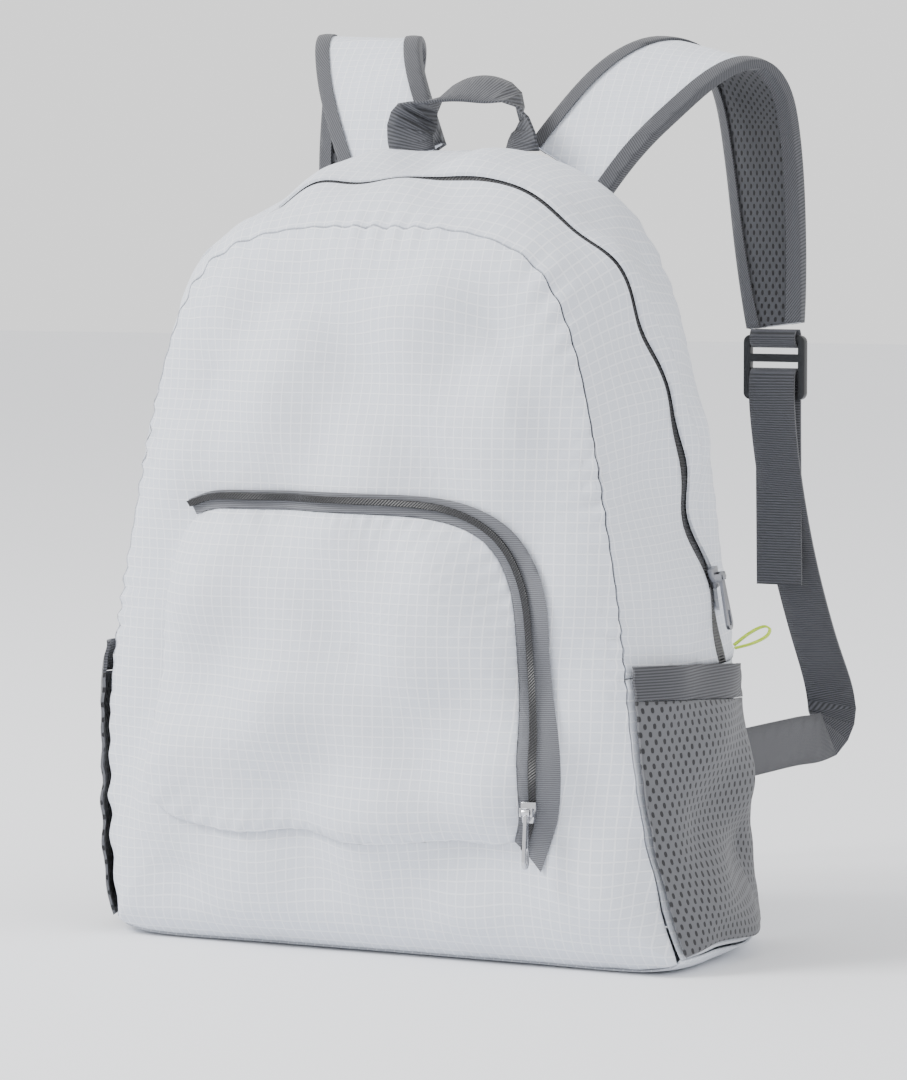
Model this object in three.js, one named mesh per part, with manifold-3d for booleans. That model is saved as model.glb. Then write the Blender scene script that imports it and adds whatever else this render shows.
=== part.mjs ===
// A light packable daypack, standing on its base and packed full: a hollow shell of cloth panels with a main
// zip over the top, a zipped front pocket, a mesh pocket on each side, padded straps and a grab handle.
// Millimetres, +Z up. The front faces -Y, and right is +X, as seen from the front.
import * as THREE from "three";
import { mergeVertices } from "three/addons/utils/BufferGeometryUtils.js";
import Module from "manifold-3d";

const solids = await Module();
solids.setup();

// Main form
const HALF_WIDTH = 150; // front seam to the middle, at the widest
const FRONT_HEIGHT = 356; // top of the front seam
const BACK_HEIGHT = 392; // top of the back seam
const FRONT_REACH = 62; // front seam ahead of the middle, at the base
const FRONT_LEAN = 12; // how much further back the front seam is at the top
const BACK_REACH = 70; // back seam behind the middle, at the base
const BACK_LEAN = 8; // how much further forward the back seam is at the top
const SWELL = 15; // the gusset stands proud of the line between its two seams
const FRONT_BULGE = 24; // the front panel stands proud of its seam
const BACK_BULGE = 9; // the back panel stands proud of its seam
const FRONT_SLUMP = 20; // the load has slumped to the right by this much at the base's front edge
const BACK_SLUMP = 5; // and by this much at its back edge
const SLUMP_HEIGHT = 130; // above the floor, where the slump ends
const CLOTH = 1.3; // wall of coated cloth with its seam allowance
const GAP = 0.3; // between neighbouring pieces
const HEM_SEAM_GAP = 0.4; // between a piece sewn on top and the wall below it

// Main zip and the flap that hides it
const ZIP_TAPE_WIDTH = 9;
const ZIP_THICKNESS = 1.6;
const FLAP_WIDTH = 12;
const FLAP_THICKNESS = 1.6;
const FLAP_OVERLAP = 2.5; // how far the flap's fold reaches in front of the zip's middle

// Front pocket
const POCKET_REACH = 107; // from the bag's middle to the pocket's sewn side
const POCKET_BOTTOM = 62; // above the floor
const POCKET_HEIGHT = 155;
const POCKET_BULGE = 11; // room inside the pocket, front to back
const POCKET_TAPE_INSIDE = 4.5; // zip tape seen between the pocket's cloth and the coil
const POCKET_COIL_WIDTH = 3.2;
const POCKET_COIL_HEIGHT = 1.5;
const POCKET_TAPE_THICKNESS = 0.9;

// Side mesh pockets
const MESH_THICKNESS = 1.5;
const MESH_BULGE = 10; // room inside, body to mesh
const HEM_HEIGHT = 10.5;
const HEM_THICKNESS = 1.7;
const HEM_STAND_OFF = 5.5; // room between the body and the hem

// Webbing, handle and straps
const WEBBING_WIDTH = 25;
const WEBBING_THICKNESS = 1.5;
const HANDLE_RISE = 32; // top of the grab handle above the seam it is sewn in
const HANDLE_INSET = 5; // its ends lie this far in front of the seam
const HANDLE_SEAT = 0.2; // and their middles this far above the cloth, which is round
const HANDLE_LEFT = -33; // its two ends, from the middle
const HANDLE_RIGHT = 28;
const STRAP_OFFSET = 50; // strap's end from the middle, on the back seam
const STRAP_WIDTH = 58;
const STRAP_END_WIDTH = 31;
const STRAP_FOAM = 4.2; // cloth and foam together
const STRAP_MESH = 1.6; // air mesh on the wearer's side
const BINDING_REACH = 8; // tape on each face at the strap's edges
const BINDING_THICKNESS = 0.9;
const STRAP_EDGE = 2.6; // cloth, foam and mesh together where the edge is bound
const STRAP_SEAT = 7.5; // the middle of its padding behind the seam
const BINDING_SEAT = 0.35; // between the tape and what it binds
const STRAP_RISE = 58; // top of the strap above its end
const RIGHT_STRAP_SPREAD = 80; // how far out it ends
const LEFT_STRAP_SPREAD = 64;
const STRAP_SETBACK = 71; // how far back it hangs

// Strap buckle: a ladder lock for the webbing
const LOCK_WIDTH = 34;
const LOCK_HEIGHT = 33;
const LOCK_THICKNESS = 4;
const LOCK_RAIL = 3.6; // side rails and end bars
const LOCK_SLOT = 5.6; // each of its three slots
const TAB_SHOWING = 3; // between the strap's end and the turn of the tab
const TAIL_LENGTH = 112; // free webbing below the lock
const ANCHOR_HEIGHT = 92; // where the webbing is sewn in the back seam
const WEBBING_SETBACK = 118; // how far behind that seam the webbing swings

// Zip sliders and pulls
const SLIDER_WIDTH = 7.5;
const SLIDER_LENGTH = 10;
const SLIDER_HEIGHT = 3;
const PULL_LENGTH = 27; // pivot to tip
const PULL_WIDE = 7.2;
const PULL_NARROW = 4;
const PULL_THICKNESS = 1.6;
const PULL_HOLE_LENGTH = 5;
const PIVOT_RADIUS = 0.8;
const PIVOT_CLEARANCE = 0.35;
const EYE_WALL = 0.9; // round the pivot
const EAR_THICKNESS = 1;
const POCKET_SLIDER_HEIGHT = 76; // above the floor
const MAIN_SLIDER_HEIGHT = 184;

// Side loop
const LOOP_RIBBON = 3.6;
const LOOP_THICKNESS = 1;
const LOOP_REACH = 20;
const LOOP_HEIGHT = 146;

// Finishes
const RIPSTOP = new THREE.MeshStandardMaterial({ color: 0xe4e8f0, roughness: 0.75 });
const DARK_MESH = new THREE.MeshStandardMaterial({ color: 0x56575b, roughness: 0.95 });
const DARK_WEBBING = new THREE.MeshStandardMaterial({ color: 0x4a4b50, roughness: 0.9 });
const ZIP_TAPE = new THREE.MeshStandardMaterial({ color: 0x696a70, roughness: 0.9 });
const ZIP_COIL = new THREE.MeshStandardMaterial({ color: 0x1b1b1d, roughness: 0.5 });
const BLACK_PLASTIC = new THREE.MeshStandardMaterial({ color: 0x17181a, roughness: 0.45 });
const GUNMETAL = new THREE.MeshStandardMaterial({ color: 0x6d6e72, roughness: 0.35, metalness: 1 });
const NICKEL = new THREE.MeshStandardMaterial({ color: 0x9d9ea2, roughness: 0.3, metalness: 1 });
const LIME = new THREE.MeshStandardMaterial({ color: 0xc8e62e, roughness: 0.8 });

// Half of the outline, from the middle of the base round the right side to the middle of the top. across is
// a share of HALF_WIDTH, up a share of that seam's height, zip where the main zip lies as a share of the
// depth, swell a share of SWELL.
const OUTLINE = [
  { at: "base middle", frontAcross: 0, frontUp: 0.005, backAcross: 0, backUp: 0.005, zip: 0.72, swell: 0.8 },
  { at: "base", frontAcross: 0.5, frontUp: 0.005, backAcross: 0.5, backUp: 0.005, zip: 0.72, swell: 0.8 },
  { at: "base edge", frontAcross: 0.99, frontUp: 0.008, backAcross: 0.94, backUp: 0.007, zip: 0.72, swell: 0.85 },
  { at: "corner", frontAcross: 1.03, frontUp: 0.055, backAcross: 0.98, backUp: 0.045, zip: 0.72, swell: 0.75 },
  { at: "low side", frontAcross: 1.0, frontUp: 0.19, backAcross: 0.965, backUp: 0.17, zip: 0.72, swell: 0.5 },
  { at: "zip end", frontAcross: 0.95, frontUp: 0.42, backAcross: 0.94, backUp: 0.385, zip: 0.68, swell: 0.85 },
  { at: "middle", frontAcross: 0.88, frontUp: 0.6, backAcross: 0.87, backUp: 0.57, zip: 0.57, swell: 1 },
  { at: "shoulder", frontAcross: 0.77, frontUp: 0.82, backAcross: 0.76, backUp: 0.79, zip: 0.4, swell: 1 },
  { at: "top corner", frontAcross: 0.62, frontUp: 0.945, backAcross: 0.59, backUp: 0.925, zip: 0.3, swell: 1 },
  { at: "crown", frontAcross: 0.36, frontUp: 0.993, backAcross: 0.3, backUp: 0.985, zip: 0.32, swell: 1 },
  { at: "top middle", frontAcross: 0, frontUp: 1, backAcross: 0, backUp: 1, zip: 0.31, swell: 1 },
];
const HALF_TURN = OUTLINE.length - 1;
const FULL_TURN = 2 * HALF_TURN;
const CORNER = 2.45; // where the base panel ends, in rows of the outline
const ZIP_END = 4.88;
const STEPS_PER_ROW = 3;
const FLAP_DRAWN_ROWS = 1.8; // over this stretch from its lower ends

const mix = (a, b, share) => a + (b - a) * share;
const clamp = (value, low, high) => Math.min(Math.max(value, low), high);
const vector = (x, y, z) => new THREE.Vector3(x, y, z);
const range = (from, to, steps) => Array.from({ length: steps + 1 }, (_, i) => mix(from, to, i / steps));

// The value of one column of the outline at any place round it, on a smooth curve through the rows.
function column(name, turn, odd = false) {
  const row = (i) => {
    const wrapped = ((i % FULL_TURN) + FULL_TURN) % FULL_TURN;
    const mirrored = wrapped > HALF_TURN;
    const value = OUTLINE[mirrored ? FULL_TURN - wrapped : wrapped][name];
    return mirrored && odd ? -value : value;
  };
  const i = Math.floor(turn);
  const t = turn - i;
  const [a, b, c, d] = [row(i - 1), row(i), row(i + 1), row(i + 2)];
  return b + 0.5 * t * (c - a + t * (2 * a - 5 * b + 4 * c - d + t * (3 * (b - c) + d - a)));
}

const frontSeamDepth = (up) => -FRONT_REACH + FRONT_LEAN * up;
const backSeamDepth = (up) => BACK_REACH - BACK_LEAN * up;
const slump = (height, most) => most * clamp(1 - height / SLUMP_HEIGHT, 0, 1) ** 2;

// Points on the two seams that the gusset joins.
function frontSeam(turn) {
  const up = column("frontUp", turn);
  const across = column("frontAcross", turn, true) * HALF_WIDTH;
  return vector(across + slump(up * FRONT_HEIGHT, FRONT_SLUMP), frontSeamDepth(up), up * FRONT_HEIGHT);
}

function backSeam(turn) {
  const up = column("backUp", turn);
  const across = column("backAcross", turn, true) * HALF_WIDTH;
  return vector(across + slump(up * BACK_HEIGHT, BACK_SLUMP), backSeamDepth(up), up * BACK_HEIGHT);
}

// A point on the gusset: turn goes round the outline, depth from the front seam (0) to the back seam (1).
function gusset(turn, depth) {
  const step = 0.05;
  const tangent = frontSeam(turn + step).sub(frontSeam(turn - step));
  tangent.add(backSeam(turn + step).sub(backSeam(turn - step)));
  const outward = vector(tangent.z, 0, -tangent.x).normalize();
  const fullness = Math.sin(Math.PI * clamp(depth, 0, 1));
  const rounding = mix(0.4, 0.58, clamp(column("frontUp", turn) * 8, 0, 1));
  const point = frontSeam(turn).lerp(backSeam(turn), depth);
  point.addScaledVector(outward, SWELL * column("swell", turn) * fullness ** rounding);
  point.z = Math.max(point.z, 0);
  return point;
}

const gussetDepth = (turn) => frontSeam(turn).distanceTo(backSeam(turn));
const zipDepth = (turn) => column("zip", turn);

// Distance from a panel's middle to its seam in the direction of an angle, and the height of its middle.
const panelMiddle = (height) => 0.46 * height;
function seamInDirection(seam, middle, across, up) {
  const angle = (turn) => {
    const point = seam(turn);
    return Math.atan2(point.x, middle - point.z);
  };
  const wanted = Math.atan2(across, middle - up);
  let [low, high] = wanted >= 0 ? [0, HALF_TURN] : [HALF_TURN, FULL_TURN];
  for (let i = 0; i < 30; i += 1) {
    const half = (low + high) / 2;
    const found = angle(half);
    const before = wanted >= 0 ? found < wanted && found > -1 : found < wanted && found < 1;
    if (before) low = half;
    else high = half;
  }
  return (low + high) / 2;
}

// The front panel's surface over any place inside its seam: a cushion that rolls under at the base.
function frontPanelDepth(across, up) {
  const middle = panelMiddle(FRONT_HEIGHT);
  const turn = seamInDirection(frontSeam, middle, across, up);
  const seam = frontSeam(turn);
  const share = clamp(Math.hypot(across, up - middle) / Math.hypot(seam.x, seam.z - middle), 0, 1);
  return frontPanelAt(turn, share).y;
}

function frontPanelAt(turn, share) {
  const middle = panelMiddle(FRONT_HEIGHT);
  const seam = frontSeam(turn);
  const up = mix(middle, seam.z, share);
  const low = clamp(1 - seam.z / (0.25 * FRONT_HEIGHT), 0, 1);
  const roll = mix(2.6, 7, low);
  const bulge = FRONT_BULGE * (1 - share ** roll) ** mix(0.8, 0.55, low);
  const depth = frontSeamDepth(up / FRONT_HEIGHT) - bulge;
  return vector(seam.x * share, depth, up);
}

function backPanelAt(turn, share) {
  const middle = panelMiddle(BACK_HEIGHT);
  const seam = backSeam(turn);
  const up = mix(middle, seam.z, share);
  const bulge = BACK_BULGE * (1 - share ** 4);
  return vector(seam.x * share, backSeamDepth(up / BACK_HEIGHT) + bulge, up);
}

// The way into the bag from a point of its surface: towards the nearest point of a smaller box inside.
const CORE = new THREE.Box3(
  vector(-0.5 * HALF_WIDTH, -0.3 * FRONT_REACH, 0.22 * BACK_HEIGHT),
  vector(0.5 * HALF_WIDTH, 0.35 * BACK_REACH, 0.72 * BACK_HEIGHT),
);
const inward = (point) => CORE.clampPoint(point, vector(0, 0, 0)).sub(point).normalize();
const raised = (point, height) => point.clone().addScaledVector(inward(point), -height);

// A closed geometry from triangles of points: equal points are merged and faces of no area are left out.
function closedGeometry(triangles) {
  const solid = triangles.filter(([a, b, c]) => {
    const near = (p, q) => p.distanceToSquared(q) < 1e-6;
    return !near(a, b) && !near(b, c) && !near(c, a);
  });
  const volume = solid.reduce((sum, [a, b, c]) => sum + a.dot(b.clone().cross(c)), 0);
  const ordered = volume < 0 ? solid.map(([a, b, c]) => [a, c, b]) : solid;
  const positions = ordered.flat().flatMap((p) => [p.x, p.y, p.z]);
  const geometry = new THREE.BufferGeometry();
  geometry.setAttribute("position", new THREE.Float32BufferAttribute(positions, 3));
  const merged = mergeVertices(geometry, 1e-3);
  merged.computeVertexNormals();
  return merged;
}

const quad = (a, b, c, d) => [[a, b, c], [a, c, d]];

// A wall between an outer and an inner grid of points, closed round its rim. A grid that closes on itself
// across has no rim there.
function wall(outer, inner, closesAcross = false) {
  const triangles = [];
  const rows = outer.length - 1;
  const columns = outer[0].length - 1;
  for (let i = 0; i < rows; i += 1) {
    for (let j = 0; j < columns; j += 1) {
      triangles.push(...quad(outer[i][j], outer[i + 1][j], outer[i + 1][j + 1], outer[i][j + 1]));
      triangles.push(...quad(inner[i][j], inner[i][j + 1], inner[i + 1][j + 1], inner[i + 1][j]));
    }
    if (!closesAcross) {
      triangles.push(...quad(outer[i][0], inner[i][0], inner[i + 1][0], outer[i + 1][0]));
      triangles.push(
        ...quad(outer[i][columns], outer[i + 1][columns], inner[i + 1][columns], inner[i][columns]),
      );
    }
  }
  for (let j = 0; j < columns; j += 1) {
    triangles.push(...quad(outer[0][j], outer[0][j + 1], inner[0][j + 1], inner[0][j]));
    triangles.push(...quad(outer[rows][j], inner[rows][j], inner[rows][j + 1], outer[rows][j + 1]));
  }
  return closedGeometry(triangles);
}

// A wall of cloth that lies between two heights above a grid of surface points.
function layer(grid, low, high, closesAcross = false) {
  const at = (height) =>
    grid.map((row) => row.map((p) => raised(p, typeof height === "function" ? height(p) : height)));
  return wall(at(high), at(low), closesAcross);
}

// Frames along a path given as rows of a place and a width direction: a smooth line through the places.
function framesAlong(rows, steps) {
  const line = new THREE.CatmullRomCurve3(rows.map((row) => row.place), false, "centripetal");
  const sides = new THREE.CatmullRomCurve3(rows.map((row) => row.side.clone().normalize()), false, "centripetal");
  return range(0, 1, steps).map((t) => {
    const along = line.getTangent(t);
    const up = sides.getPoint(t).cross(along).normalize();
    return { place: line.getPoint(t), side: along.clone().cross(up).normalize(), up, t };
  });
}

// A closed solid swept through frames: section gives its corners as [aside, up] pairs at a share of the way.
// The second half of a section lies over the first, and both split along the same line, so that they don't cross
// where a band twists.
function sweep(frames, section) {
  const rings = frames.map((frame) =>
    section(frame.t).map(([aside, up]) =>
      frame.place.clone().addScaledVector(frame.side, aside).addScaledVector(frame.up, up),
    ),
  );
  const count = rings[0].length;
  const triangles = [];
  for (let i = 0; i + 1 < rings.length; i += 1) {
    for (let j = 0; j < count; j += 1) {
      const k = (j + 1) % count;
      const corners = [rings[i][j], rings[i + 1][j], rings[i + 1][k], rings[i][k]];
      if (j >= count / 2) corners.push(corners.shift());
      triangles.push(...quad(...corners));
    }
  }
  const cap = (ring, t, turned) => {
    const flat = section(t).map(([a, b]) => new THREE.Vector2(a, b));
    for (const [a, b, c] of THREE.ShapeUtils.triangulateShape(flat, [])) {
      triangles.push(turned ? [ring[a], ring[c], ring[b]] : [ring[a], ring[b], ring[c]]);
    }
  };
  const clockwise = THREE.ShapeUtils.isClockWise(section(0).map(([a, b]) => new THREE.Vector2(a, b)));
  cap(rings[0], frames[0].t, clockwise);
  cap(rings[rings.length - 1], frames[frames.length - 1].t, !clockwise);
  return closedGeometry(triangles);
}

const flatSection = (width, low, high) => [
  [-width / 2, low],
  [width / 2, low],
  [width / 2, high],
  [-width / 2, high],
];

const backpack = new THREE.Group();
function add(name, geometry, material) {
  const mesh = new THREE.Mesh(geometry, material);
  mesh.name = name;
  backpack.add(mesh);
  return mesh;
}

// Shell panels. Each ends half a gap short of the seam that it shares with its neighbour.
const shareOfDepth = (turn, length) => length / gussetDepth(turn);
const cloth = (grid, closesAcross) => layer(grid, -CLOTH, 0, closesAcross);

function panelDisc(surface, seam, middle, rings) {
  const turns = range(0, FULL_TURN, FULL_TURN * STEPS_PER_ROW);
  return rings.map((ring) =>
    turns.map((turn) => {
      const point = seam(turn);
      const reach = Math.hypot(point.x, point.z - middle);
      return surface(turn, ring * (1 - GAP / reach));
    }),
  );
}

function makeFrontPanel() {
  const rings = [0, 0.3, 0.55, 0.75, 0.88, 0.95, 1];
  const grid = panelDisc(frontPanelAt, frontSeam, panelMiddle(FRONT_HEIGHT), rings);
  add("front_panel", cloth(grid, true), RIPSTOP);
}

function makeBackPanel() {
  const rings = [0, 0.4, 0.75, 1];
  const grid = panelDisc(backPanelAt, backSeam, panelMiddle(BACK_HEIGHT), rings);
  add("back_panel", cloth(grid, true), RIPSTOP);
}

// A stretch of gusset from one turn to another, between two depths that may change along it.
function gussetGrid(turns, from, to, steps) {
  return turns.map((turn) => range(from(turn), to(turn), steps).map((depth) => gusset(turn, depth)));
}

const turnsBetween = (from, to) => range(from, to, Math.round((to - from) * STEPS_PER_ROW));
const seamShort = (turn) => shareOfDepth(turn, GAP / 2);
const rowLength = (turn) => frontSeam(turn + 0.5).distanceTo(frontSeam(turn - 0.5));
const turnShort = (turn) => GAP / rowLength(turn); // half a gap and a little, in rows of the outline

function makeBasePanel() {
  const end = CORNER - turnShort(CORNER);
  const turns = turnsBetween(-end, end);
  const grid = gussetGrid(turns, seamShort, (turn) => 1 - seamShort(turn), 6);
  add("base_panel", cloth(grid), RIPSTOP);
}

function makeSidePanels() {
  for (const [side, low, high] of [
    ["right", CORNER, ZIP_END],
    ["left", FULL_TURN - ZIP_END, FULL_TURN - CORNER],
  ]) {
    const turns = range(low + turnShort(low), high - turnShort(high), 7);
    const grid = gussetGrid(turns, seamShort, (turn) => 1 - seamShort(turn), 7);
    add(side + "_side_panel", cloth(grid), RIPSTOP);
  }
}

// The gusset over the top is two strips with the zip between them.
const archEnd = ZIP_END + turnShort(ZIP_END);
const archTurns = turnsBetween(archEnd, FULL_TURN - archEnd);
const beforeZip = (turn) => zipDepth(turn) - shareOfDepth(turn, ZIP_TAPE_WIDTH / 2 + GAP);
const behindZip = (turn) => zipDepth(turn) + shareOfDepth(turn, ZIP_TAPE_WIDTH / 2 + GAP);

function makeZipGussets() {
  add("front_gusset", cloth(gussetGrid(archTurns, seamShort, beforeZip, 3)), RIPSTOP);
  add("rear_gusset", cloth(gussetGrid(archTurns, behindZip, (turn) => 1 - seamShort(turn), 4)), RIPSTOP);
}

function makeMainZip() {
  const half = (turn) => shareOfDepth(turn, ZIP_TAPE_WIDTH / 2);
  const from = (turn) => zipDepth(turn) - half(turn);
  const to = (turn) => zipDepth(turn) + half(turn);
  add("main_zip", layer(gussetGrid(archTurns, from, to, 1), -ZIP_THICKNESS, 0), ZIP_COIL);
}

// The flap covers the zip over the top and draws back behind it towards both lower ends.
const rowsFromZipEnd = (turn) => Math.min(turn, FULL_TURN - turn) - ZIP_END;
const flapDrawn = (turn) => clamp(1.5 - (1.5 * rowsFromZipEnd(turn)) / FLAP_DRAWN_ROWS, 0, 1);

function makeZipFlap() {
  const fold = (turn) => mix(-FLAP_OVERLAP, ZIP_TAPE_WIDTH / 2 + GAP, flapDrawn(turn));
  const from = (turn) => zipDepth(turn) + shareOfDepth(turn, fold(turn));
  const to = (turn) => from(turn) + shareOfDepth(turn, FLAP_WIDTH);
  const low = HEM_SEAM_GAP;
  const grid = gussetGrid(archTurns.slice(1, -1), from, to, 2);
  add("zip_flap", layer(grid, low, low + FLAP_THICKNESS), RIPSTOP);
}

// Front pocket: a dish of cloth on the front panel, with its zip over the top and down one side.
// Its outline, from the zip's lower end up the zip, over the top and round the sewn sides: across is a share of
// POCKET_REACH from the bag's middle, up a share of POCKET_HEIGHT.
const POCKET_OUTLINE = [
  { at: "zip's lower end", across: 0.905, up: 0 },
  { at: "low zip", across: 0.905, up: 0.28 },
  { at: "middle of the zip", across: 0.875, up: 0.56 },
  { at: "below the corner", across: 0.83, up: 0.78 },
  { at: "corner", across: 0.71, up: 0.92 },
  { at: "past the corner", across: 0.5, up: 0.98 },
  { at: "top", across: 0.12, up: 1 },
  { at: "top left", across: -0.42, up: 1 },
  { at: "zip's upper end", across: -0.82, up: 0.975 },
  { at: "shoulder", across: -0.95, up: 0.8 },
  { at: "sewn side", across: -1, up: 0.45 },
  { at: "low corner", across: -0.97, up: 0.1 },
  { at: "bottom left", across: -0.8, up: 0 },
  { at: "bottom", across: -0.2, up: -0.01 },
  { at: "bottom right", across: 0.5, up: -0.01 },
];
const ZIP_TOP_ROW = 8; // the row of the zip's upper end
const pocketMiddle = vector(-0.05 * POCKET_REACH, 0, POCKET_BOTTOM + POCKET_HEIGHT / 2);
const pocketEdge = new THREE.CatmullRomCurve3(
  POCKET_OUTLINE.map(({ across, up }) => vector(across * POCKET_REACH, 0, POCKET_BOTTOM + up * POCKET_HEIGHT)),
  true,
  "centripetal",
);

// A point of the outline, rows counted round it, moved outwards by a margin.
function pocketOutline(row, margin) {
  const share = row / POCKET_OUTLINE.length;
  const along = pocketEdge.getTangent(share);
  return pocketEdge.getPoint(share).add(vector(along.z, 0, -along.x).multiplyScalar(margin));
}

const onFront = ({ x, z }) => vector(x, frontPanelDepth(x, z), z);

function makeFrontPocket() {
  const count = POCKET_OUTLINE.length;
  const rows = range(0, count, 3 * count);
  const rings = [0, 0.45, 0.8, 0.93, 1];
  const grid = (high) =>
    rings.map((ring) =>
      rows.map((row) => {
        const place = pocketMiddle.clone().lerp(pocketOutline(row % count, 0), ring);
        const room = HEM_SEAM_GAP + POCKET_BULGE * (1 - ring ** 4) ** 0.8;
        return raised(onFront(place), room + high);
      }),
    );
  add("front_pocket", wall(grid(CLOTH), grid(0), true), RIPSTOP);
}

// Zip tape outside the coil, along the zip from its upper end.
const TAPE_OUTSIDE = [
  { at: 0, wide: 1 },
  { at: 0.35, wide: 2.5 },
  { at: 0.6, wide: 8 },
  { at: 0.75, wide: 8 },
  { at: 1, wide: 12 },
];

function tapeOutside(share) {
  const next = clamp(TAPE_OUTSIDE.findIndex((row) => row.at >= share), 1, TAPE_OUTSIDE.length - 1);
  const [a, b] = [TAPE_OUTSIDE[next - 1], TAPE_OUTSIDE[next]];
  return mix(a.wide, b.wide, clamp((share - a.at) / (b.at - a.at), 0, 1));
}

const zipRow = (share) => mix(ZIP_TOP_ROW, 0, share);

function pocketBand(inner, outer, low, high) {
  const grid = range(0, 1, 28).map((share) =>
    [inner(share), (inner(share) + outer(share)) / 2, outer(share)].map((margin) =>
      onFront(pocketOutline(zipRow(share), margin)),
    ),
  );
  return layer(grid, low, high);
}

const coilInside = GAP + POCKET_TAPE_INSIDE;
const coilOutside = coilInside + POCKET_COIL_WIDTH;

const pocketTapeLow = 3 * HEM_SEAM_GAP; // the panel below is faceted, so the tape lies a little off it

function makePocketZip() {
  const low = pocketTapeLow;
  const high = low + POCKET_TAPE_THICKNESS;
  const tape = pocketBand(() => GAP, (share) => coilOutside + tapeOutside(share), low, high);
  add("pocket_zip_tape", tape, ZIP_TAPE);
  const coil = pocketBand(() => coilInside, () => coilOutside, high + GAP, high + GAP + POCKET_COIL_HEIGHT);
  add("pocket_zip_coil", coil, ZIP_COIL);
}

// Side pockets: mesh that stands off the side panel, with an elastic hem at its mouth.
const MESH_FOOT = CORNER + 0.1;
const MESH_MOUTH = { front: ZIP_END + 0.08, back: ZIP_END - 0.04 }; // the hem's top, in rows of the outline
function meshRoom(share, depth) {
  const across = Math.sin(Math.PI * depth ** 0.8) ** 0.5;
  const foot = clamp(share / 0.28, 0, 1);
  const upward = mix(Math.sqrt(foot * (2 - foot)), HEM_STAND_OFF / MESH_BULGE, clamp((share - 0.3) / 0.7, 0, 1) ** 2);
  return MESH_BULGE * across * upward;
}

function sidePocketGrid(low, high, rows, mirrored) {
  return range(low, high, rows).map((share) =>
    range(0.012, 0.988, 9).map((depth) => {
      const turn = mix(MESH_FOOT, mix(MESH_MOUTH.front, MESH_MOUTH.back, depth), share);
      return { surface: gusset(mirrored ? FULL_TURN - turn : turn, depth), room: meshRoom(share, depth) };
    }),
  );
}

const pocketLayer = (grid, low, high) => {
  const at = (height) => grid.map((row) => row.map(({ surface, room }) => raised(surface, room + height)));
  return wall(at(high), at(low));
};

function makeSidePockets() {
  const height = gusset(MESH_MOUTH.back, 0.5).distanceTo(gusset(MESH_FOOT, 0.5));
  const hemShare = HEM_HEIGHT / height;
  for (const [side, mirrored] of [["right", false], ["left", true]]) {
    const mesh = sidePocketGrid(0, 1 - hemShare - GAP / height, 8, mirrored);
    add(side + "_mesh_pocket", pocketLayer(mesh, HEM_SEAM_GAP, HEM_SEAM_GAP + MESH_THICKNESS), DARK_MESH);
    const hem = sidePocketGrid(1 - hemShare, 1, 1, mirrored);
    add(side + "_pocket_hem", pocketLayer(hem, HEM_SEAM_GAP, HEM_SEAM_GAP + HEM_THICKNESS), DARK_WEBBING);
  }
}

// The place on the back seam at a distance across, over the top, or at a height, on the right side.
function backSeamAt(test) {
  let [low, high] = [CORNER, HALF_TURN];
  for (let i = 0; i < 30; i += 1) {
    const half = (low + high) / 2;
    if (test(gusset(half, 1))) high = half;
    else low = half;
  }
  return high;
}
const topTurn = (across) =>
  across < 0 ? FULL_TURN - topTurn(-across) : backSeamAt((p) => p.x < across && p.z > BACK_HEIGHT / 2);
const sideTurn = (height) => backSeamAt((p) => p.z > height);

// The place on the zip's line at a height, on the right side.
function zipTurn(height) {
  let [low, high] = [CORNER, HALF_TURN];
  for (let i = 0; i < 30; i += 1) {
    const half = (low + high) / 2;
    if (gusset(half, zipDepth(half)).z > height) high = half;
    else low = half;
  }
  return high;
}

// The grab handle's webbing rises from the back seam, twists flat over its top and comes down again. along is a
// share of the way between its ends, rise and back are shares of HANDLE_RISE.
const HANDLE_PATH = [
  { along: 0, rise: 0, back: 0, side: [-1, 0, 0] },
  { along: -0.03, rise: 0.36, back: 0, side: [-0.97, -0.2, -0.05] },
  { along: 0.07, rise: 0.7, back: 0.02, side: [-0.65, -0.7, -0.3] },
  { along: 0.34, rise: 0.97, back: 0.04, side: [-0.22, -0.86, -0.45] },
  { along: 0.62, rise: 1, back: 0.05, side: [0, -0.85, -0.52] },
  { along: 0.87, rise: 0.82, back: 0.03, side: [0.3, -0.85, -0.42] },
  { along: 1, rise: 0.42, back: 0, side: [0.72, -0.68, -0.12] },
  { along: 1, rise: 0, back: 0, side: [0.93, -0.36, 0] },
];

function makeHandle() {
  const ends = [HANDLE_LEFT, HANDLE_RIGHT].map((across) => {
    const seam = gusset(topTurn(across), 1 - shareOfDepth(HALF_TURN, HANDLE_INSET));
    return seam.add(vector(0, 0, HANDLE_SEAT));
  });
  const rows = HANDLE_PATH.map(({ along, rise, back, side }) => {
    const place = ends[0].clone().lerp(ends[1], along);
    return { place: place.add(vector(0, HANDLE_RISE * back, HANDLE_RISE * rise)), side: vector(...side) };
  });
  const half = WEBBING_THICKNESS / 2;
  const webbing = sweep(framesAlong(rows, 20), () => flatSection(WEBBING_WIDTH, -half, half));
  add("grab_handle", webbing, DARK_WEBBING);
}

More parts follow.
